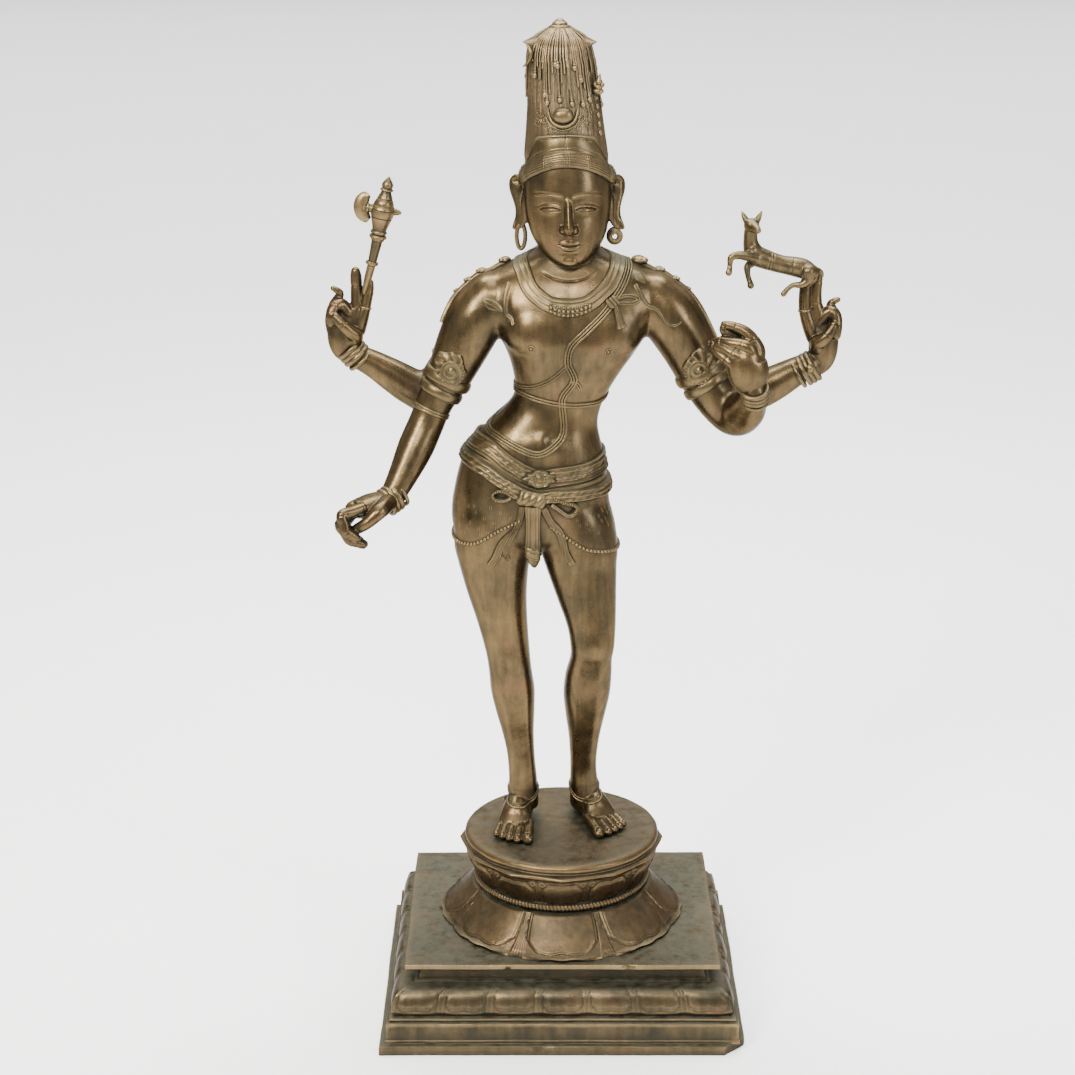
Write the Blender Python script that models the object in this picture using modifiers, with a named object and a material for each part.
"""Four-armed standing bronze figure on a round lotus pedestal, set on a square moulded base.

Metres, +Z up, the figure faces -Y. The origin is the middle of the base's underside.
Left and right are the viewer's, and the figure's own right hand is at -X.
"""

import math

import bmesh
import bpy
from mathutils import Matrix, Quaternion, Vector
from mathutils.bvhtree import BVHTree

# The square base: half width along X, half depth along Y, and heights
SLAB_HALF_X = 0.1915
SLAB_HALF_Y = 0.158
FOOT_PROJECTION = 0.0315
FASCIA_PROJECTION = 0.0225
TORUS_PROJECTION = 0.0185
TORUS_TOP_PROJECTION = -0.004
NECK_RECESS = 0.0175
CORNICE_RECESS = 0.009
FOOT_HEIGHT = 0.012
FASCIA_HEIGHT = 0.026
FILLET_HEIGHT = 0.006
TORUS_HEIGHT = 0.034
NECK_HEIGHT = 0.018
CORNICE_HEIGHT = 0.004
SLAB_THICKNESS = 0.006
PETALS_ALONG_X = 7
PETALS_ALONG_Y = 6
PETAL_GROOVE = 0.0022
CHIPPED_CORNER = 0.026
JOIN_OVERLAP = 0.001

# The round lotus pedestal, cast in one with the figure
PEDESTAL_HEIGHT = 0.1137
LOTUS_RADIUS = 0.154
LOTUS_HEIGHT = 0.044
BEAD_RADIUS = 0.110
BEAD_HEIGHT = 0.011
WAIST_RADIUS = 0.105
TIP_RADIUS = 0.128
DISC_RADIUS = 0.1155
DISC_HEIGHT = 0.015
PEDESTAL_PETALS = 8
SEAT_GAP = 0.0003

# The figure: every length below this line is a share of its height, from sole to crown
FIGURE_HEIGHT = 1.0
BODY_VOXEL = 0.0030
FIGURE_VOXEL = 0.0024
TRIANGLE_SHARE = 0.0152

BASE_HEIGHT = (FOOT_HEIGHT + FASCIA_HEIGHT + FILLET_HEIGHT + TORUS_HEIGHT
               + NECK_HEIGHT + CORNICE_HEIGHT + SLAB_THICKNESS)
PEDESTAL_FOOT = BASE_HEIGHT + SEAT_GAP
SOLE_LEVEL = PEDESTAL_FOOT + PEDESTAL_HEIGHT

BRONZE = (0.16, 0.105, 0.055, 1.0)
DARK_BRONZE = (0.115, 0.088, 0.058, 1.0)


# Scene, materials and small helpers

def clear_scene():
    for obj in list(bpy.data.objects):
        bpy.data.objects.remove(obj)


def collection(name):
    made = bpy.data.collections.new(name)
    bpy.context.scene.collection.children.link(made)
    return made


def bronze(name, colour, roughness):
    made = bpy.data.materials.new(name)
    made.use_nodes = True
    shader = made.node_tree.nodes["Principled BSDF"]
    shader.inputs["Base Color"].default_value = colour
    shader.inputs["Metallic"].default_value = 0.9
    shader.inputs["Roughness"].default_value = roughness
    return made


def add_object(name, bm, home):
    mesh = bpy.data.meshes.new(name)
    bmesh.ops.recalc_face_normals(bm, faces=bm.faces)
    bm.to_mesh(mesh)
    bm.free()
    obj = bpy.data.objects.new(name, mesh)
    home.objects.link(obj)
    return obj


def hide(obj):
    obj.hide_render = True
    obj.display_type = "WIRE"


def evaluated_copy(obj, name, home):
    """A new object that holds obj's mesh with its modifiers carried out."""
    graph = bpy.context.evaluated_depsgraph_get()
    mesh = bpy.data.meshes.new_from_object(obj.evaluated_get(graph))
    mesh.name = name
    made = bpy.data.objects.new(name, mesh)
    home.objects.link(made)
    return made


def at(x, y, h):
    """A point of the figure, from shares of its height measured from the soles."""
    return Vector((x, y, h)) * FIGURE_HEIGHT + Vector((0.0, 0.0, SOLE_LEVEL))


def smooth_rows(rows, steps):
    """Catmull-Rom rows through the given ones, so that a few sections make a smooth form."""
    padded = [rows[0], *rows, rows[-1]]
    out = []
    for i in range(1, len(padded) - 2):
        before, start, end, after = padded[i - 1:i + 3]
        for step in range(steps):
            t = step / steps
            out.append(tuple(
                0.5 * (2 * b + (c - a) * t + (2 * a - 5 * b + 4 * c - d) * t * t
                       + (3 * b - a - 3 * c + d) * t ** 3)
                for a, b, c, d in zip(before, start, end, after)))
    out.append(tuple(rows[-1]))
    return out


def loft(bm, rings, closed=False):
    """Bridges rings of equally many points. The ends are capped unless the loft closes on itself."""
    loops = [[bm.verts.new(p) for p in ring] for ring in rings]
    pairs = list(zip(loops, loops[1:]))
    if closed:
        pairs.append((loops[-1], loops[0]))
    else:
        bm.faces.new(loops[0])
        bm.faces.new(loops[-1])
    for low, high in pairs:
        for i in range(len(low)):
            j = (i + 1) % len(low)
            bm.faces.new((low[i], low[j], high[j], high[i]))


# Soft forms: they overlap freely and are fused into one surface later

def column(bm, rows, sides=40, squareness=2.3, steps=5):
    """A form cut level: each row is height, middle x, middle y, half width, half depth."""
    rings = []
    for h, cx, cy, rx, ry in smooth_rows(rows, steps):
        ring = []
        for i in range(sides):
            a = 2 * math.pi * i / sides
            c, s = math.cos(a), math.sin(a)
            ring.append(at(cx + rx * math.copysign(abs(c) ** (2 / squareness), c),
                           cy + ry * math.copysign(abs(s) ** (2 / squareness), s), h))
        rings.append(ring)
    loft(bm, rings)


def blob(bm, centre, radii, turn=Quaternion(), sides=20):
    """An ellipsoid. It is made by itself first, because a sphere is slow to add to a large mesh."""
    size = Matrix.Diagonal((*(r * FIGURE_HEIGHT for r in radii), 1.0))
    place = Matrix.Translation(at(*centre)) @ turn.to_matrix().to_4x4() @ size
    ball = bmesh.new()
    bmesh.ops.create_uvsphere(ball, u_segments=sides, v_segments=max(sides // 2, 4), radius=1.0, matrix=place)
    mesh = bpy.data.meshes.new("ball")
    ball.to_mesh(mesh)
    ball.free()
    bm.from_mesh(mesh)
    bpy.data.meshes.remove(mesh)


def frames_along(points, start_side=None, closed=False):
    """For each point of a path, its direction and two square ones that turn as little as they can."""
    count = len(points)
    found = []
    side = start_side
    for i, p in enumerate(points):
        if closed:
            ahead = points[(i + 1) % count] - points[i - 1]
        else:
            ahead = points[min(i + 1, count - 1)] - points[max(i - 1, 0)]
        ahead.normalize()
        if side is None:
            side = ahead.orthogonal()
        side = (side - ahead * side.dot(ahead)).normalized()
        found.append((ahead, side, ahead.cross(side)))
    return found


def limb(bm, stations, side=(0.0, 1.0, 0.0), sides=20, steps=5, rounded=True):
    """A round form along a path: each station is x, y, h, radius across, radius along side."""
    rows = smooth_rows([s if len(s) == 5 else (*s, s[3]) for s in stations], steps)
    points = [at(*row[:3]) for row in rows]
    rings = []
    for row, (_, u, v) in zip(rows, frames_along(points, Vector(side))):
        ring = []
        for i in range(sides):
            a = 2 * math.pi * i / sides
            ring.append(at(*row[:3]) + FIGURE_HEIGHT * (u * math.cos(a) * row[4] + v * math.sin(a) * row[3]))
        rings.append(ring)
    loft(bm, rings)
    for row in (rows[0], rows[-1]) if rounded else ():
        radius = min(row[3], row[4])
        blob(bm, row[:3], (radius, radius, radius), sides=sides)


def fused(name, bm, home, voxel, smoothing=0):
    """One closed surface from forms that overlap, as wax is worked together before it is cast."""
    rough = add_object(name + "_forms", bm, home)
    remesh = rough.modifiers.new("Fuse", "REMESH")
    remesh.mode = "VOXEL"
    remesh.voxel_size = voxel * FIGURE_HEIGHT
    if smoothing:
        smooth = rough.modifiers.new("Smooth", "SMOOTH")
        smooth.factor = 0.5
        smooth.iterations = smoothing
    made = evaluated_copy(rough, name, home)
    bpy.data.objects.remove(rough)
    return made


def without_slivers(obj):
    """Thinning out the faces can leave a stray flake, so only the one large body stays."""
    bm = bmesh.new()
    bm.from_mesh(obj.data)
    left = set(bm.verts)
    bodies = []
    while left:
        reached = [left.pop()]
        for vert in reached:
            near = [e.other_vert(vert) for e in vert.link_edges]
            fresh = [v for v in near if v in left]
            left.difference_update(fresh)
            reached.extend(fresh)
        bodies.append(reached)
    bodies.sort(key=len)
    for flake in bodies[:-1]:
        bmesh.ops.delete(bm, geom=flake, context="VERTS")
    bm.to_mesh(obj.data)
    bm.free()


# The body

def torso(bm):
    column(bm, [
        (0.740, 0.005, 0.010, 0.034, 0.034),
        (0.726, 0.007, 0.012, 0.048, 0.038),
        (0.714, 0.010, 0.012, 0.083, 0.043),
        (0.698, 0.012, 0.009, 0.106, 0.050),
        (0.672, 0.012, 0.003, 0.108, 0.055),
        (0.640, 0.011, 0.000, 0.090, 0.058),
        (0.614, 0.009, 0.000, 0.0755, 0.055),
        (0.589, 0.004, 0.001, 0.0635, 0.050),
        (0.565, -0.002, 0.003, 0.0555, 0.045),
        (0.547, -0.011, 0.003, 0.0565, 0.044),
        (0.527, -0.023, 0.002, 0.0645, 0.047),
        (0.508, -0.0316, 0.001, 0.076, 0.051),
        (0.487, -0.0351, 0.002, 0.0845, 0.055),
        (0.454, -0.0374, 0.004, 0.0915, 0.060),
        (0.417, -0.0385, 0.006, 0.0960, 0.062),
        (0.390, -0.0355, 0.005, 0.0965, 0.058),
        (0.372, -0.0340, 0.004, 0.0900, 0.050),
    ])
    for side in (-1, 1):
        blob(bm, (0.011 + side * 0.038, -0.022, 0.646), (0.046, 0.0345, 0.040))
        blob(bm, (-0.036 + side * 0.044, 0.034, 0.412), (0.046, 0.042, 0.050))
    blob(bm, (-0.026, -0.020, 0.500), (0.050, 0.034, 0.040))


STANDING_LEG = [
    (0.445, -0.0750, 0.006, 0.0300, 0.036),
    (0.425, -0.0810, 0.005, 0.0480, 0.054),
    (0.378, -0.0835, 0.004, 0.0485, 0.053),
    (0.352, -0.0835, 0.003, 0.0435, 0.049),
    (0.314, -0.0800, 0.002, 0.0368, 0.043),
    (0.275, -0.0735, 0.000, 0.0310, 0.037),
    (0.236, -0.0670, -0.003, 0.0272, 0.032),
    (0.208, -0.0638, 0.001, 0.0266, 0.031),
    (0.181, -0.0611, 0.009, 0.0275, 0.034),
    (0.150, -0.0580, 0.012, 0.0240, 0.030),
    (0.124, -0.0550, 0.013, 0.0202, 0.0235),
    (0.098, -0.0520, 0.015, 0.0178, 0.0205),
    (0.075, -0.0500, 0.017, 0.0174, 0.0198),
    (0.052, -0.0485, 0.019, 0.0182, 0.0220),
    (0.020, -0.0480, 0.022, 0.0190, 0.0250),
]

RELAXED_LEG = [
    (0.445, 0.0000, 0.006, 0.0300, 0.036),
    (0.425, 0.0090, 0.005, 0.0470, 0.054),
    (0.378, 0.0190, 0.000, 0.0480, 0.053),
    (0.352, 0.0220, -0.004, 0.0440, 0.049),
    (0.312, 0.0290, -0.013, 0.0365, 0.043),
    (0.278, 0.0350, -0.022, 0.0300, 0.037),
    (0.252, 0.0365, -0.029, 0.0268, 0.032),
    (0.236, 0.0350, -0.027, 0.0258, 0.028),
    (0.212, 0.0325, -0.014, 0.0285, 0.030),
    (0.180, 0.0305, 0.001, 0.0290, 0.034),
    (0.146, 0.0290, 0.011, 0.0245, 0.030),
    (0.118, 0.0282, 0.017, 0.0200, 0.0235),
    (0.090, 0.0275, 0.023, 0.0174, 0.0200),
    (0.066, 0.0275, 0.028, 0.0168, 0.0194),
    (0.045, 0.0285, 0.030, 0.0180, 0.0215),
    (0.018, 0.0300, 0.032, 0.0190, 0.0240),
]

# Each foot: where its heel stands, and how far it turns outwards from straight ahead
FEET = {"standing": ((-0.049, 0.042), -8.0), "relaxed": ((0.020, 0.056), 27.0)}
TOE_SPREAD = (-0.0190, -0.0075, 0.0020, 0.0110, 0.0192)
TOE_LENGTH = (0.028, 0.028, 0.0250, 0.021, 0.016)
TOE_RADIUS = (0.0080, 0.0056, 0.0053, 0.0050, 0.0048)


def foot(bm, heel, turn_out):
    """The foot's own axis runs from heel to toes, and the big toe is on the inner side."""
    a = math.radians(turn_out)
    ahead = Vector((math.sin(a), -math.cos(a), 0.0))
    outward = Vector((math.cos(a), math.sin(a), 0.0)) * (1 if turn_out > 0 else -1)

    def place(along, across, height):
        p = Vector((*heel, 0.0)) + ahead * along + outward * across
        return (p.x, p.y, height)

    limb(bm, [
        (*place(0.012, 0.000, 0.013), 0.0150, 0.014),
        (*place(0.030, 0.000, 0.020), 0.0175, 0.022),
        (*place(0.050, 0.001, 0.019), 0.0185, 0.021),
        (*place(0.070, 0.001, 0.0135), 0.0220, 0.0155),
        (*place(0.084, 0.000, 0.0085), 0.0245, 0.0105),
    ], side=(0.0, 0.0, 1.0))
    for across, length, radius in zip(TOE_SPREAD, TOE_LENGTH, TOE_RADIUS):
        limb(bm, [
            (*place(0.078, across * 0.85, 0.0095), radius),
            (*place(0.078 + length * 0.6, across, 0.0088), radius * 0.92),
            (*place(0.078 + length, across, 0.0062), radius),
        ], sides=12)


ARMS = {
    "front_low": [
        (-0.084, 0.002, 0.676, 0.0330), (-0.101, 0.000, 0.656, 0.0350), (-0.118, -0.001, 0.622, 0.0325),
        (-0.135, -0.002, 0.585, 0.0275), (-0.1520, -0.004, 0.553, 0.0225), (-0.1625, -0.008, 0.528, 0.0218),
        (-0.1755, -0.020, 0.500, 0.0220), (-0.1900, -0.036, 0.471, 0.0182), (-0.2045, -0.050, 0.4450, 0.0148),
    ],
    "back_axe": [
        (-0.078, 0.030, 0.664, 0.0300), (-0.104, 0.036, 0.635, 0.0285), (-0.135, 0.040, 0.588, 0.0250),
        (-0.1600, 0.040, 0.553, 0.0240), (-0.1800, 0.038, 0.559, 0.0230), (-0.2020, 0.036, 0.573, 0.0208),
        (-0.2280, 0.033, 0.590, 0.0168), (-0.2490, 0.030, 0.6010, 0.0146),
    ],
    "front_raised": [
        (0.106, 0.002, 0.676, 0.0330), (0.125, 0.000, 0.656, 0.0355), (0.1465, -0.001, 0.622, 0.0330),
        (0.1650, -0.003, 0.585, 0.0290), (0.1840, -0.008, 0.556, 0.0265), (0.2035, -0.016, 0.540, 0.0262),
        (0.2140, -0.040, 0.552, 0.0245), (0.2180, -0.066, 0.571, 0.0200), (0.2195, -0.090, 0.5870, 0.0162),
    ],
    "back_antelope": [
        (0.100, 0.030, 0.664, 0.0300), (0.132, 0.036, 0.635, 0.0285), (0.172, 0.040, 0.585, 0.0255),
        (0.2060, 0.040, 0.548, 0.0245), (0.2300, 0.038, 0.553, 0.0235), (0.2560, 0.036, 0.566, 0.0215),
        (0.2790, 0.033, 0.580, 0.0180), (0.2960, 0.030, 0.5890, 0.0158),
    ],
}

# Each hand: its wrist, the way it points, the way its palm faces, the way its thumb lies,
# how far each finger bends at its three joints, thumb side first, and its size
HANDS = {
    "front_low": ((-0.2045, -0.050, 0.4450), (-0.86, -0.42, -0.12), (-0.10, -0.35, -0.93),
                  ((4, 88, 42), (24, 84, 40), (38, 74, 34), (46, 60, 26)), 1.04),
    "back_axe": ((-0.2490, 0.030, 0.6010), (-0.04, -0.10, 1.0), (0.10, -1.0, -0.10),
                 ((8, 6, 4), (2, 4, 4), (44, 62, 40), (40, 20, -50)), 1.04),
    "front_raised": ((0.2195, -0.090, 0.5870), (-0.10, -0.26, 1.0), (-0.90, 0.40, 0.05),
                     ((58, 46, 30), (66, 66, 34), (78, 74, 40), (84, 72, 40)), 1.16),
    "back_antelope": ((0.2960, 0.030, 0.5890), (0.10, -0.12, 1.0), (-0.10, -1.0, -0.10),
                      ((10, 6, 4), (4, 4, 4), (44, 62, 40), (40, 20, -50)), 1.04),
}
PALM_LENGTH = 0.045
PALM_HALF_WIDTH = 0.0205
PALM_HALF_DEPTH = 0.0130
FINGER_BONES = ((0.026, 0.019, 0.014), (0.029, 0.021, 0.015), (0.026, 0.019, 0.014), (0.020, 0.015, 0.012))
FINGER_RADIUS = 0.0062
THUMB = ((0.010, 0.015, 0.002), (0.026, 0.024, 0.008), (0.043, 0.019, 0.018), (0.056, 0.010, 0.024))


def hand(bm, wrist, ahead, palm, bends, size, mirror):
    """A hand in its own frame: ahead along the palm, thumbward across it, and out of the palm."""
    ahead = Vector(ahead).normalized()
    palm = Vector(palm)
    palm = (palm - ahead * palm.dot(ahead)).normalized()
    thumbward = ahead.cross(palm) * mirror

    def place(along, across, out):
        return tuple(Vector(wrist) + (ahead * along + thumbward * across + palm * out) * size)

    limb(bm, [
        (*place(-0.004, 0.0, 0.0), 0.0150, 0.0135),
        (*place(0.012, 0.0, 0.001), 0.0175 * size, 0.0140 * size),
        (*place(0.028, 0.0, 0.001), PALM_HALF_WIDTH * size, PALM_HALF_DEPTH * size),
        (*place(PALM_LENGTH, 0.0, 0.0), PALM_HALF_WIDTH * size * 0.97, PALM_HALF_DEPTH * size * 0.74),
    ], side=palm)
    for number, (bones, bend) in enumerate(zip(FINGER_BONES, bends)):
        across = (1.5 - number) * 0.0104
        spread = math.radians((1.5 - number) * 4.0)
        joint = Vector(place(PALM_LENGTH - 0.004, across, 0.0))
        turn = 0.0
        stations = [(*joint, FINGER_RADIUS * size * 1.02)]
        for k, (bone, angle) in enumerate(zip(bones, bend)):
            turn += math.radians(angle)
            way = (ahead * math.cos(spread) + thumbward * math.sin(spread)) * math.cos(turn) + palm * math.sin(turn)
            middle = joint + way * bone * size * 0.5
            joint = joint + way * bone * size
            stations.append((*middle, FINGER_RADIUS * size * (1.0 - 0.07 * k)))
            stations.append((*joint, FINGER_RADIUS * size * (0.97 - 0.09 * k)))
        limb(bm, stations, side=thumbward, sides=12, steps=3)
    limb(bm, [(*place(*p), FINGER_RADIUS * size * r) for p, r in zip(THUMB, (1.5, 1.25, 1.05, 0.8))],
         side=palm, sides=12)


HEAD_MIDDLE = (0.0045, 0.004, 0.785)


def head(bm):
    """Neck, skull and a plain oval face. The crown covers the skull above the brow."""
    column(bm, [
        (0.765, 0.0050, 0.010, 0.0315, 0.032),
        (0.745, 0.0058, 0.010, 0.0325, 0.033),
        (0.725, 0.0065, 0.010, 0.0365, 0.036),
        (0.705, 0.0080, 0.010, 0.0500, 0.040),
    ], squareness=2.0)
    column(bm, [
        (0.722, 0.0070, -0.030, 0.0120, 0.010),
        (0.728, 0.0066, -0.024, 0.0245, 0.021),
        (0.742, 0.0060, -0.012, 0.0375, 0.035),
        (0.762, 0.0052, -0.003, 0.0465, 0.045),
        (0.786, 0.0045, 0.003, 0.0500, 0.050),
        (0.812, 0.0040, 0.006, 0.0505, 0.052),
        (0.838, 0.0030, 0.010, 0.0440, 0.045),
        (0.852, 0.0025, 0.012, 0.0280, 0.028),
    ], squareness=2.15)
    limb(bm, [(0.0045, -0.044, 0.797, 0.0050), (0.0050, -0.054, 0.776, 0.0058), (0.0052, -0.056, 0.766, 0.0078)])
    blob(bm, (0.0058, -0.046, 0.750), (0.0150, 0.0075, 0.0055))
    blob(bm, (0.0066, -0.037, 0.732), (0.0120, 0.0100, 0.0090))
    for side in (-1, 1):
        blob(bm, (0.0045 + side * 0.020, -0.041, 0.7905), (0.0125, 0.0070, 0.0050))
        limb(bm, [(0.0035 + side * 0.053, 0.008, 0.818, 0.0060, 0.011),
                  (0.0035 + side * 0.0585, 0.010, 0.806, 0.0055, 0.012),
                  (0.0040 + side * 0.0555, 0.009, 0.786, 0.0042, 0.008),
                  (0.0045 + side * 0.0540, 0.006, 0.770, 0.0040, 0.006),
                  (0.0050 + side * 0.0530, 0.004, 0.758, 0.0040, 0.006)])



# Ornaments that lie on the skin

def strap(bm, skin, stations, half_width, half_depth, closed=False, steps=3, sides=6):
    """A cord or strip along the skin. A fourth number in a station is its own half width."""
    rows = smooth_rows([s if len(s) == 4 else (*s, half_width) for s in stations + stations[:1] * closed], steps)
    if closed:
        rows.pop()
    places = []
    ways = []
    for row in rows:
        place, way, _, _ = skin.find_nearest(at(*row[:3]))
        places.append(place)
        ways.append(way)
    rings = []
    for i, (row, place, way) in enumerate(zip(rows, places, ways)):
        before = places[i - 1] if closed or i else place
        after = places[(i + 1) % len(places)] if closed or i + 1 < len(places) else place
        across = (after - before).cross(way).normalized() * row[3] * FIGURE_HEIGHT
        out = way * half_depth * FIGURE_HEIGHT
        rings.append([place + across * math.cos(a) + out * math.sin(a)
                      for a in (2 * math.pi * (k + 0.5) / sides for k in range(sides))])
    loft(bm, rings, closed)


def band(bm, skin, stations, where, half_width, half_depth, points=20):
    """A ring round a limb. It looks for the skin outwards from a place along the limb's middle."""
    index = int(where)
    low, high = (Vector(stations[i][:3]) for i in (index, index + 1))
    axis = (high - low).normalized()
    middle = at(*low.lerp(high, where - index))
    u = axis.orthogonal().normalized()
    v = axis.cross(u)
    farthest = stations[index][3] * 1.35 * FIGURE_HEIGHT
    rings = []
    for i in range(points):
        a = 2 * math.pi * i / points
        way = u * math.cos(a) + v * math.sin(a)
        place, _, _, reach = skin.ray_cast(middle, way)
        if place is None or reach > farthest:
            place = middle + way * farthest
        rings.append([place + FIGURE_HEIGHT * (axis * math.cos(b) * half_width + way * math.sin(b) * half_depth)
                      for b in (math.pi * (k + 0.5) / 3 for k in range(6))])
    loft(bm, rings, closed=True)


def cord(bm, points, radius=0.003):
    """A thin round form that is free of the skin."""
    limb(bm, [(*p, radius) if len(p) == 3 else p for p in points], sides=6, steps=1, rounded=False)


NECKLACE = [
    (-0.0460, -0.022, 0.7120), (-0.0420, -0.036, 0.6990), (-0.0330, -0.044, 0.6870), (-0.0170, -0.050, 0.6790),
    (0.0048, -0.052, 0.6765), (0.0270, -0.050, 0.6795), (0.0440, -0.043, 0.6900), (0.0570, -0.032, 0.7050),
    (0.0620, -0.006, 0.7200), (0.0580, 0.030, 0.7310), (0.0070, 0.055, 0.7360), (-0.0430, 0.034, 0.7310),
    (-0.0500, 0.000, 0.7220),
]
SACRED_CORD = [
    (0.0755, 0.004, 0.7192), (0.0710, -0.030, 0.7039), (0.0563, -0.045, 0.6820), (0.0441, -0.052, 0.6673),
    (0.0245, -0.057, 0.6484), (0.0084, -0.058, 0.6321), (0.0050, -0.054, 0.6110), (0.0122, -0.049, 0.5905),
    (0.0006, -0.043, 0.5710), (-0.0017, -0.041, 0.5595), (0.0002, -0.042, 0.5306), (-0.0051, -0.047, 0.5150),
    (-0.0251, -0.053, 0.5020), (-0.0439, -0.051, 0.5038), (-0.0758, -0.037, 0.5180), (-0.0893, -0.010, 0.5240),
    (-0.0850, 0.035, 0.5500), (-0.0450, 0.058, 0.6000), (0.0150, 0.060, 0.6500), (0.0600, 0.050, 0.6950),
]
CORD_BRANCH = [(0.0050, -0.054, 0.6085), (-0.0152, -0.048, 0.5902), (-0.0357, -0.038, 0.5796),
               (-0.0534, -0.018, 0.5766), (-0.0600, 0.010, 0.5750)]
WAIST_CORD = [
    (-0.0522, -0.019, 0.5695), (-0.0310, -0.037, 0.5638), (-0.0028, -0.041, 0.5585), (0.0254, -0.035, 0.5569),
    (0.0530, -0.005, 0.5600), (0.0450, 0.040, 0.5630), (0.0000, 0.050, 0.5650), (-0.0450, 0.035, 0.5690),
]
UPPER_BELT = [
    (-0.1048, -0.014, 0.5081), (-0.0853, -0.040, 0.5031), (-0.0664, -0.050, 0.4900), (-0.0451, -0.054, 0.4776),
    (-0.0275, -0.055, 0.4716), (-0.0086, -0.052, 0.4735), (0.0246, -0.041, 0.4764), (0.0453, -0.020, 0.4812),
    (0.0550, 0.012, 0.4850), (0.0300, 0.055, 0.4880), (-0.0300, 0.066, 0.4920), (-0.0850, 0.048, 0.5020),
    (-0.1100, 0.012, 0.5100),
]
LOWER_BELT = [
    (-0.1157, -0.015, 0.4896), (-0.0925, -0.043, 0.4793), (-0.0652, -0.053, 0.4627), (-0.0345, -0.056, 0.4487),
    (-0.0144, -0.055, 0.4496), (0.0200, -0.046, 0.4493), (0.0491, -0.020, 0.4500), (0.0590, 0.012, 0.4530),
    (0.0350, 0.058, 0.4570), (-0.0350, 0.070, 0.4640), (-0.0950, 0.055, 0.4800), (-0.1220, 0.010, 0.4920),
]
HEMS = (
    [(-0.0520, -0.055, 0.4200), (-0.0786, -0.051, 0.4049), (-0.0953, -0.049, 0.3940), (-0.1099, -0.043, 0.3871),
     (-0.1300, -0.012, 0.3865), (-0.1330, 0.022, 0.3900), (-0.1100, 0.055, 0.3880), (-0.0700, 0.066, 0.3830),
     (-0.0380, 0.050, 0.3800)],
    [(-0.0150, -0.054, 0.4120), (0.0083, -0.052, 0.3951), (0.0250, -0.052, 0.3839), (0.0418, -0.048, 0.3794),
     (0.0629, -0.026, 0.3751), (0.0700, 0.010, 0.3750), (0.0500, 0.050, 0.3760), (0.0000, 0.066, 0.3790),
     (-0.0360, 0.050, 0.3800)],
)
BOW_LOOPS = (
    [(-0.0500, -0.055, 0.4490), (-0.0700, -0.054, 0.4560), (-0.0850, -0.052, 0.4500), (-0.0800, -0.053, 0.4400),
     (-0.0620, -0.055, 0.4420)],
    [(-0.0180, -0.055, 0.4450), (-0.0030, -0.053, 0.4360), (0.0120, -0.050, 0.4245), (0.0170, -0.048, 0.4310),
     (0.0040, -0.052, 0.4420)],
)
RIBBONS = (
    [(-0.0440, -0.056, 0.4400, 0.0050), (-0.0560, -0.055, 0.4100, 0.0060), (-0.0700, -0.050, 0.3820, 0.0090),
     (-0.0840, -0.048, 0.3600, 0.0125)],
    [(-0.0270, -0.056, 0.4360, 0.0050), (-0.0150, -0.054, 0.4060, 0.0060), (-0.0040, -0.050, 0.3840, 0.0080),
     (0.0110, -0.052, 0.3610, 0.0115)],
)
SHOULDER_STRIPS = (
    [(-0.0745, 0.015, 0.7219, 0.0060), (-0.0969, 0.015, 0.7111, 0.0060), (-0.1150, 0.015, 0.7000, 0.0055),
     (-0.1300, 0.012, 0.6850, 0.0050), (-0.1470, 0.008, 0.6500, 0.0035)],
    [(0.0960, 0.015, 0.7219, 0.0060), (0.1138, 0.015, 0.7123, 0.0060), (0.1320, 0.015, 0.6980, 0.0055),
     (0.1480, 0.012, 0.6830, 0.0050), (0.1800, 0.008, 0.6218, 0.0035)],
)


def draped_ornaments(bm, skin):
    strap(bm, skin, NECKLACE, 0.0068, 0.0042, closed=True)
    strap(bm, skin, SACRED_CORD, 0.0046, 0.0036, closed=True)
    strap(bm, skin, CORD_BRANCH, 0.0030, 0.0032)
    strap(bm, skin, WAIST_CORD, 0.0036, 0.0034, closed=True)
    strap(bm, skin, UPPER_BELT, 0.0105, 0.0046, closed=True)
    strap(bm, skin, LOWER_BELT, 0.0085, 0.0050, closed=True)
    for path in HEMS:
        strap(bm, skin, path, 0.0055, 0.0042)
    for path in BOW_LOOPS:
        strap(bm, skin, path, 0.0042, 0.0060)
    for path in RIBBONS:
        strap(bm, skin, path, 0.006, 0.0048)
    for path in SHOULDER_STRIPS:
        strap(bm, skin, path, 0.005, 0.0052)
        for x, y, h, _ in path[:4]:
            blob(bm, (x, y, h + 0.0005), (0.0062, 0.0070, 0.0056))
    # Knot of the sacred cord with its loop and tassel
    blob(bm, (0.0563, -0.0500, 0.6820), (0.0072, 0.0050, 0.0066))
    strap(bm, skin, [(0.0563, -0.045, 0.6850), (0.0720, -0.042, 0.6840), (0.0860, -0.037, 0.6823)], 0.0040, 0.0044)
    strap(bm, skin, [(0.0563, -0.047, 0.6790, 0.003), (0.0661, -0.052, 0.6540, 0.0058)], 0.0040, 0.0044)
    # Front of the necklace, belt clasp, knot of the sash and the tassel that hangs from it
    blob(bm, (0.0048, -0.0530, 0.6780), (0.0210, 0.0060, 0.0080))
    blob(bm, (-0.0275, -0.0570, 0.4716), (0.0240, 0.0080, 0.0125))
    blob(bm, (-0.0345, -0.0580, 0.4450), (0.0195, 0.0085, 0.0100))
    limb(bm, [(-0.0357, -0.058, 0.4380, 0.0095, 0.006), (-0.0357, -0.059, 0.4150, 0.0070, 0.005),
              (-0.0358, -0.058, 0.3880, 0.0080, 0.006), (-0.0360, -0.056, 0.3760, 0.0105, 0.009),
              (-0.0360, -0.055, 0.3670, 0.0080, 0.007)], sides=12)


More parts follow.
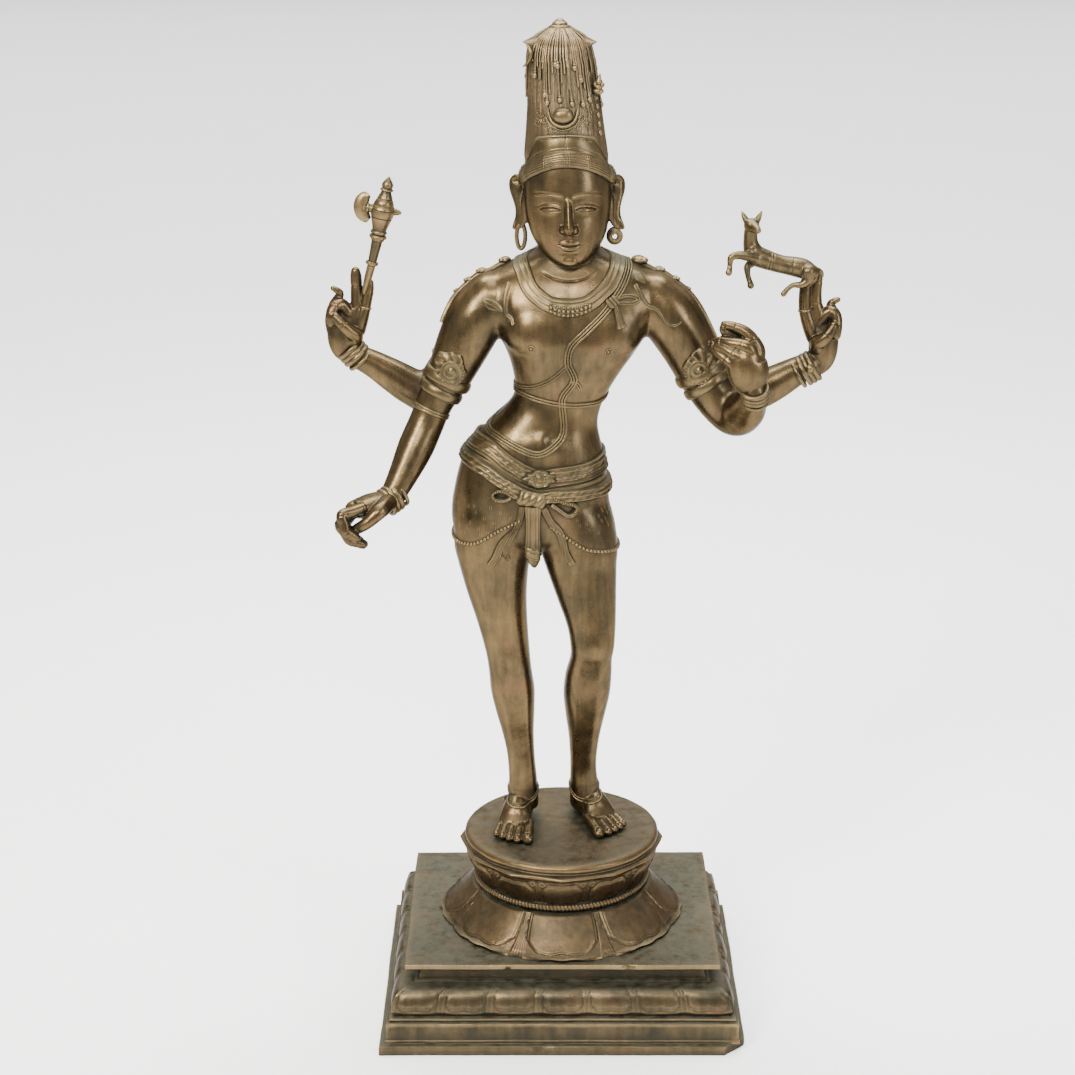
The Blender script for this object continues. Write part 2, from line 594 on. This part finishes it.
# Where each band goes round an arm, counted in its stations, with half its width and its depth
ARM_BANDS = {
    "front_low": ((3.15, 0.0058, 0.0052), (3.60, 0.0042, 0.0046), (4.45, 0.0034, 0.0036),
                  (7.45, 0.0036, 0.0040), (7.80, 0.0036, 0.0040)),
    "back_axe": ((5.90, 0.0036, 0.0040), (6.35, 0.0036, 0.0040), (1.90, 0.0050, 0.0045)),
    "front_raised": ((2.95, 0.0058, 0.0052), (3.35, 0.0042, 0.0046), (7.10, 0.0036, 0.0040), (7.45, 0.0036, 0.0040)),
    "back_antelope": ((5.90, 0.0036, 0.0040), (6.45, 0.0036, 0.0040), (1.90, 0.0050, 0.0045)),
}
ARMBAND_PLAQUES = (((-0.1335, -0.028, 0.6020), -14.0), ((0.1600, -0.031, 0.6030), 16.0))


def bands(bm, skin):
    for name, rings in ARM_BANDS.items():
        for where, half_width, half_depth in rings:
            band(bm, skin, ARMS[name], where, half_width, half_depth)
    for leg in (STANDING_LEG, RELAXED_LEG):
        stations = [(x, y, h, max(across, deep)) for h, x, y, across, deep in leg]
        band(bm, skin, stations, len(stations) - 1.75, 0.0042, 0.0046)
    for centre, lean in ARMBAND_PLAQUES:
        turn = Quaternion((0.0, 1.0, 0.0), math.radians(-lean))
        blob(bm, centre, (0.0225, 0.0085, 0.0190), turn)
        blob(bm, (centre[0], centre[1] - 0.004, centre[2] + 0.004), (0.0090, 0.0085, 0.0110), turn)


def earrings(bm):
    """A long open loop in the lobe on the viewer's left and a round coil in the other."""
    loop = [(-0.0496 + 0.0072 * math.cos(a), 0.002, 0.7495 + 0.0125 * math.sin(a), 0.0028)
            for a in (2 * math.pi * i / 12 + math.pi / 2 for i in range(13))]
    limb(bm, loop, sides=8, steps=1)
    coil = [(0.0560 + 0.0068 * math.cos(a), 0.002, 0.7480 + 0.0078 * math.sin(a), 0.0042)
            for a in (2 * math.pi * i / 12 + math.pi / 2 for i in range(13))]
    limb(bm, coil, sides=8, steps=1)


# What the two raised hands hold

def axe(bm):
    """Battle axe: a ringed handle, a swelling body, a bud on top, a half-moon blade and a spur."""
    limb(bm, [
        (-0.2304, 0.022, 0.6932, 0.0050), (-0.2262, 0.021, 0.7110, 0.0052), (-0.2256, 0.020, 0.7123, 0.0076),
        (-0.2250, 0.020, 0.7145, 0.0052), (-0.2190, 0.020, 0.7420, 0.0060), (-0.2180, 0.020, 0.7450, 0.0098),
        (-0.2168, 0.020, 0.7500, 0.0090), (-0.2150, 0.020, 0.7600, 0.0110), (-0.2133, 0.020, 0.7740, 0.0140),
        (-0.2100, 0.020, 0.7890, 0.0120), (-0.2050, 0.020, 0.8020, 0.0062), (-0.2046, 0.020, 0.8060, 0.0052),
        (-0.2040, 0.020, 0.8090, 0.0066), (-0.2033, 0.020, 0.8150, 0.0022),
    ], sides=12, steps=2)
    for k in range(7):
        a = math.radians(180 + (k - 3) * 26)
        blob(bm, (-0.2270 + 0.0100 * math.cos(a), 0.020, 0.7811 + 0.0135 * math.sin(a)),
             (0.0062, 0.0034, 0.0058))
    blob(bm, (-0.2285, 0.020, 0.7808), (0.0100, 0.0036, 0.0105))
    limb(bm, [(-0.2060, 0.020, 0.7760, 0.0060), (-0.1960, 0.020, 0.7745, 0.0046), (-0.1900, 0.020, 0.7740, 0.0024)],
         sides=8, steps=2)


def antelope(bm):
    """A leaping antelope that turns its head outwards. Its hind part rests on two fingertips."""
    limb(bm, [
        (0.2900, 0.018, 0.7050, 0.0085), (0.2800, 0.020, 0.7080, 0.0112), (0.2660, 0.020, 0.7120, 0.0104),
        (0.2520, 0.020, 0.7150, 0.0098), (0.2380, 0.020, 0.7190, 0.0106), (0.2250, 0.020, 0.7240, 0.0112),
        (0.2210, 0.020, 0.7330, 0.0092), (0.2200, 0.019, 0.7430, 0.0076), (0.2205, 0.017, 0.7530, 0.0074),
    ], sides=14, steps=2)
    limb(bm, [(0.2190, 0.022, 0.7590, 0.0075), (0.2225, 0.012, 0.7600, 0.0072), (0.2265, 0.000, 0.7580, 0.0046)],
         sides=10, steps=2)
    for tip in ((0.2088, 0.020, 0.7735), (0.2310, 0.020, 0.7735)):
        limb(bm, [(0.2195, 0.021, 0.7620, 0.0042), (*tip, 0.0018)], sides=8, steps=2)
    legs = (
        [(0.2250, 0.014, 0.7230, 0.0062), (0.2080, 0.010, 0.7250, 0.0044), (0.1964, 0.008, 0.7227, 0.0034),
         (0.1950, 0.008, 0.7150, 0.0028), (0.1944, 0.006, 0.7084, 0.0034)],
        [(0.2290, 0.026, 0.7200, 0.0062), (0.2200, 0.026, 0.7130, 0.0042), (0.2167, 0.024, 0.7080, 0.0034),
         (0.2190, 0.022, 0.6980, 0.0028), (0.2208, 0.020, 0.6893, 0.0034)],
        [(0.2790, 0.012, 0.7030, 0.0082), (0.2690, 0.012, 0.6960, 0.0052), (0.2654, 0.012, 0.6929, 0.0036),
         (0.2600, 0.011, 0.6870, 0.0030), (0.2552, 0.010, 0.6809, 0.0036)],
        [(0.2880, 0.026, 0.7030, 0.0082), (0.2930, 0.026, 0.6950, 0.0050), (0.2900, 0.027, 0.6890, 0.0040)],
    )
    for stations in legs:
        limb(bm, stations, sides=8, steps=2)


# The headdress: matted locks bound up into a tall crown under a low cap

CROWN_LOCKS = 20
CROWN_ROWS = (
    # height, middle x, middle y, half width, half depth, depth of the grooves between locks
    (0.8180, 0.0040, 0.008, 0.0400, 0.0400, 0.0),
    (0.8300, 0.0038, 0.008, 0.0500, 0.0515, 0.0),
    (0.8460, 0.0026, 0.009, 0.0488, 0.0505, 0.0018),
    (0.8720, 0.0016, 0.010, 0.0458, 0.0475, 0.0020),
    (0.8970, 0.0006, 0.011, 0.0432, 0.0450, 0.0020),
    (0.9340, -0.0028, 0.012, 0.0392, 0.0405, 0.0020),
    (0.9620, -0.0040, 0.013, 0.0366, 0.0378, 0.0018),
    (0.9680, -0.0046, 0.013, 0.0360, 0.0372, 0.0),
    (0.9690, -0.0050, 0.013, 0.0402, 0.0415, 0.0),
    (0.9730, -0.0050, 0.013, 0.0404, 0.0415, 0.0),
    (0.9800, -0.0050, 0.013, 0.0320, 0.0330, 0.0),
    (0.9880, -0.0050, 0.013, 0.0160, 0.0165, 0.0),
    (0.9910, -0.0050, 0.013, 0.0090, 0.0090, 0.0),
    (0.9980, -0.0050, 0.013, 0.0040, 0.0040, 0.0),
)
DROPS = (
    (-0.0062, 0.9727, 0.9489), (0.0096, 0.9694, 0.9444), (0.0187, 0.9561, 0.9310), (-0.0163, 0.9315, 0.9120),
    (-0.0049, 0.9292, 0.9097), (0.0087, 0.9248, 0.9052), (0.0189, 0.9248, 0.9041), (0.0268, 0.9281, 0.9086),
)


def crown_front(x, h):
    """How far forward the crown's surface is at a place seen from the front."""
    for low, high in zip(CROWN_ROWS, CROWN_ROWS[1:]):
        if low[0] <= h <= high[0]:
            t = (h - low[0]) / (high[0] - low[0])
            cx, cy, rx, ry = (a + (b - a) * t for a, b in zip(low[1:5], high[1:5]))
            return cy - ry * math.sqrt(max(1.0 - ((x - cx) / rx) ** 2, 0.0))


def diadem(bm):
    """A band round the brow. It rises in front, and a rim runs along each of its edges."""
    rings = []
    for i in range(28):
        a = 2 * math.pi * i / 28
        front = max(-math.sin(a), 0.0) ** 1.5
        low = 0.8120 + 0.0165 * front
        high = 0.8310 + 0.0370 * front
        section = []
        for share, out in ((0.0, -0.014), (0.0, 0.0030), (0.15, 0.0030), (0.20, 0.0010), (0.80, 0.0010),
                           (0.86, 0.0036), (1.0, 0.0030), (1.0, -0.012)):
            h = low + (high - low) * share
            spread = 0.0525 - 0.10 * max(h - 0.826, 0.0)
            section.append(at(0.0042 - 0.06 * max(h - 0.826, 0.0) + (spread + out) * math.cos(a),
                              0.008 + (spread + 0.0015 + out) * math.sin(a), h))
        rings.append(section)
    loft(bm, rings, closed=True)


def crown(bm):
    rings = []
    for h, cx, cy, rx, ry, groove in CROWN_ROWS:
        ring = []
        for i in range(CROWN_LOCKS * 2):
            a = math.pi * i / CROWN_LOCKS
            inward = groove if i % 2 else 0.0
            ring.append(at(cx + (rx - inward) * math.cos(a), cy + (ry - inward) * math.sin(a), h))
        rings.append(ring)
    loft(bm, rings)


def crown_ornaments(bm):
    """Bead drops at the ends of the front locks, a boss in a cradle, a crescent moon and a flower."""
    for x, top, bottom in DROPS:
        cord(bm, [(x, crown_front(x, top - 0.004) - 0.001, top - 0.004, 0.0022),
                  (x, crown_front(x, bottom + 0.008) - 0.002, bottom + 0.008, 0.0026),
                  (x, crown_front(x, bottom) - 0.002, bottom, 0.0048)])
    blob(bm, (-0.0015, crown_front(-0.0015, 0.8947), 0.8947), (0.0140, 0.0100, 0.0135), sides=10)
    cord(bm, [(x, crown_front(x, h) - 0.001, h) for x, h in (
        (-0.0219, 0.8999), (-0.0174, 0.8864), (-0.0015, 0.8785), (0.0143, 0.8864), (0.0187, 0.8999))], 0.0040)
    cord(bm, [(-0.0370, 0.004, 0.9710, 0.0024), (-0.0446, 0.002, 0.9665, 0.0042), (-0.0469, 0.000, 0.9576, 0.0052),
              (-0.0435, 0.000, 0.9497, 0.0042), (-0.0360, 0.002, 0.9463, 0.0024)])
    blob(bm, (0.0370, -0.012, 0.9280), (0.0090, 0.0070, 0.0100), sides=8)
    cord(bm, [(0.0340, -0.010, 0.9100), (0.0390, -0.012, 0.9200)], 0.0040)
    for x in (-0.0320, 0.0, 0.0320):
        cord(bm, [(x, crown_front(x, 0.8400) - 0.0035, 0.8330), (x, crown_front(x, 0.8600) - 0.0035, 0.8620)], 0.0034)


def body(home):
    """The figure without its crown. Its masses are smoothed first, then take the fine parts."""
    masses = bmesh.new()
    torso(masses)
    column(masses, STANDING_LEG)
    column(masses, RELAXED_LEG)
    blob(masses, (0.036, -0.037, 0.256), (0.0215, 0.020, 0.021))
    for stations in ARMS.values():
        limb(masses, stations)
    smooth = fused("masses", masses, home, BODY_VOXEL, smoothing=10)
    skin = BVHTree.FromObject(smooth, bpy.context.evaluated_depsgraph_get())
    fine = bmesh.new()
    draped_ornaments(fine, skin)
    bands(fine, skin)
    for heel, turn_out in FEET.values():
        foot(fine, heel, turn_out)
    for name, (wrist, ahead, palm, bends, size) in HANDS.items():
        hand(fine, wrist, ahead, palm, bends, size, mirror=1 if name in ("front_low", "back_axe") else -1)
    head(fine)
    earrings(fine)
    axe(fine)
    antelope(fine)
    fine.from_mesh(smooth.data)
    bpy.data.objects.remove(smooth)
    made = fused("body", fine, home, FIGURE_VOXEL, smoothing=1)
    fewer = made.modifiers.new("Fewer faces", "DECIMATE")
    fewer.ratio = TRIANGLE_SHARE
    return made


# The round lotus pedestal

def petal_wave(a, petals, offset=0.0):
    """1 in the middle of a petal and 0 in the groove between two of them."""
    return abs(math.cos(petals * (a - offset) / 2)) ** 0.6


PEDESTAL_ROWS = (
    # height above the pedestal's foot, radius, how far the grooves between petals go in
    (0.0000, LOTUS_RADIUS - 0.003, 0.0075),
    (0.0060, LOTUS_RADIUS, 0.0070),
    (0.0160, LOTUS_RADIUS - 0.0045, 0.0045),
    (0.0290, LOTUS_RADIUS - 0.0210, 0.0030),
    (0.0390, LOTUS_RADIUS - 0.0360, 0.0015),
    (LOTUS_HEIGHT, LOTUS_RADIUS - 0.0440, 0.0),
    (LOTUS_HEIGHT + 0.0010, BEAD_RADIUS - 0.0030, 0.0),
    (LOTUS_HEIGHT + 0.0030, BEAD_RADIUS, 0.0),
    (LOTUS_HEIGHT + 0.0090, BEAD_RADIUS, 0.0),
    (LOTUS_HEIGHT + BEAD_HEIGHT, BEAD_RADIUS - 0.0030, 0.0),
    (LOTUS_HEIGHT + BEAD_HEIGHT + 0.0010, WAIST_RADIUS, 0.0),
    (0.0740, 0.1140, 0.0008),
    (0.0920, 0.1200, 0.0012),
    (0.0990, TIP_RADIUS, 0.0060),
    (0.1010, TIP_RADIUS, 0.0060),
    (0.1030, 0.1215, 0.0),
    (PEDESTAL_HEIGHT - DISC_HEIGHT + 0.0080, 0.1215, 0.0),
    (PEDESTAL_HEIGHT - 0.0030, 0.1185, 0.0),
    (PEDESTAL_HEIGHT, DISC_RADIUS, 0.0),
)


def pedestal(bm):
    sides = PEDESTAL_PETALS * 6
    rings = []
    for height, radius, groove in PEDESTAL_ROWS:
        ring = []
        for i in range(sides):
            a = 2 * math.pi * i / sides
            r = radius - groove * (1.0 - petal_wave(a, PEDESTAL_PETALS))
            ring.append(Vector((r * math.cos(a), r * math.sin(a), PEDESTAL_FOOT + height)))
        rings.append(ring)
    loft(bm, rings)


# The square base

def level_box(bm, half_x, half_y, low, high):
    size = Matrix.Diagonal((half_x * 2, half_y * 2, high - low, 1.0))
    bmesh.ops.create_cube(bm, size=1.0, matrix=Matrix.Translation((0.0, 0.0, (low + high) / 2)) @ size)


def torus_course(bm, low, high):
    """The rounded course of lotus petals. Each petal bulges a little between its two grooves."""
    rings = []
    for height, projection in ((0.0, 0.0125), (0.14, 0.0172), (0.38, TORUS_PROJECTION), (0.72, 0.0125),
                               (1.0, TORUS_TOP_PROJECTION)):
        z = low + (high - low) * height
        deep = PETAL_GROOVE * (1.0 - height)
        hx = SLAB_HALF_X + projection
        hy = SLAB_HALF_Y + projection
        ring = []
        for start, end, petals in (((-hx, -hy), (hx, -hy), PETALS_ALONG_X), ((hx, -hy), (hx, hy), PETALS_ALONG_Y),
                                   ((hx, hy), (-hx, hy), PETALS_ALONG_X), ((-hx, hy), (-hx, -hy), PETALS_ALONG_Y)):
            start, end = Vector((*start, z)), Vector((*end, z))
            out = (end - start).cross(Vector((0.0, 0.0, 1.0))).normalized()
            for i in range(petals):
                for share, inward in ((0.0, 1.0), (0.11, 0.0), (0.89, 0.0)):
                    t = (i + share) / petals
                    corner = i == 0 and share == 0.0
                    ring.append(start.lerp(end, t) - out * (0.0 if corner else deep * inward))
        rings.append(ring)
    loft(bm, rings)


def courses():
    """Each plain course of the base: half width, half depth, its foot and its top."""
    z = 0.0
    out = []
    for height, projection in ((FOOT_HEIGHT, FOOT_PROJECTION), (FASCIA_HEIGHT, FASCIA_PROJECTION),
                               (FILLET_HEIGHT, TORUS_PROJECTION), (TORUS_HEIGHT, None),
                               (NECK_HEIGHT, -NECK_RECESS), (CORNICE_HEIGHT, -CORNICE_RECESS),
                               (SLAB_THICKNESS, 0.0)):
        out.append((projection, z, z + height))
        z += height
    return out


def build_base(home, cutters):
    plain = bmesh.new()
    projection, low, high = courses()[0]
    level_box(plain, SLAB_HALF_X + projection, SLAB_HALF_Y + projection, low, high)
    base = add_object("base", plain, home)
    for number, (projection, low, high) in enumerate(courses()[1:]):
        bm = bmesh.new()
        if projection is None:
            torus_course(bm, low - JOIN_OVERLAP, high)
        else:
            level_box(bm, SLAB_HALF_X + projection, SLAB_HALF_Y + projection, low - JOIN_OVERLAP, high)
        course = add_object(f"course_{number}", bm, cutters)
        hide(course)
        union = base.modifiers.new(f"Course {number}", "BOOLEAN")
        union.operation = "UNION"
        union.object = course
    # A blow has broken off the front corner of the foot at the viewer's right
    bm = bmesh.new()
    bmesh.ops.create_cube(bm, size=0.08)
    chip = add_object("chip", bm, cutters)
    away = 0.04 - CHIPPED_CORNER * math.sqrt(0.5)
    chip.rotation_euler = (0.0, 0.0, math.radians(45))
    chip.location = (SLAB_HALF_X + FOOT_PROJECTION + away * math.sqrt(0.5),
                     -SLAB_HALF_Y - FOOT_PROJECTION - away * math.sqrt(0.5), FOOT_HEIGHT - 0.04 + 0.003)
    hide(chip)
    cut = base.modifiers.new("Chipped corner", "BOOLEAN")
    cut.operation = "DIFFERENCE"
    cut.object = chip
    return base


def build_figure(home, cutters):
    fused_body = body(cutters)
    figure = evaluated_copy(fused_body, "figure", home)
    bpy.data.objects.remove(fused_body)
    without_slivers(figure)
    for name, make in (("crown", crown), ("diadem", diadem), ("crown_ornaments", crown_ornaments),
                       ("pedestal", pedestal)):
        bm = bmesh.new()
        make(bm)
        part = add_object(name, bm, cutters)
        hide(part)
        union = figure.modifiers.new(name.replace("_", " ").capitalize(), "BOOLEAN")
        union.operation = "UNION"
        union.object = part
        union.use_self = name == "crown_ornaments"
    return figure


clear_scene()
statue = collection("shiva_statue")
construction = collection("construction")
build_base(statue, construction).data.materials.append(bronze("base_bronze", DARK_BRONZE, 0.5))
build_figure(statue, construction).data.materials.append(bronze("figure_bronze", BRONZE, 0.42))
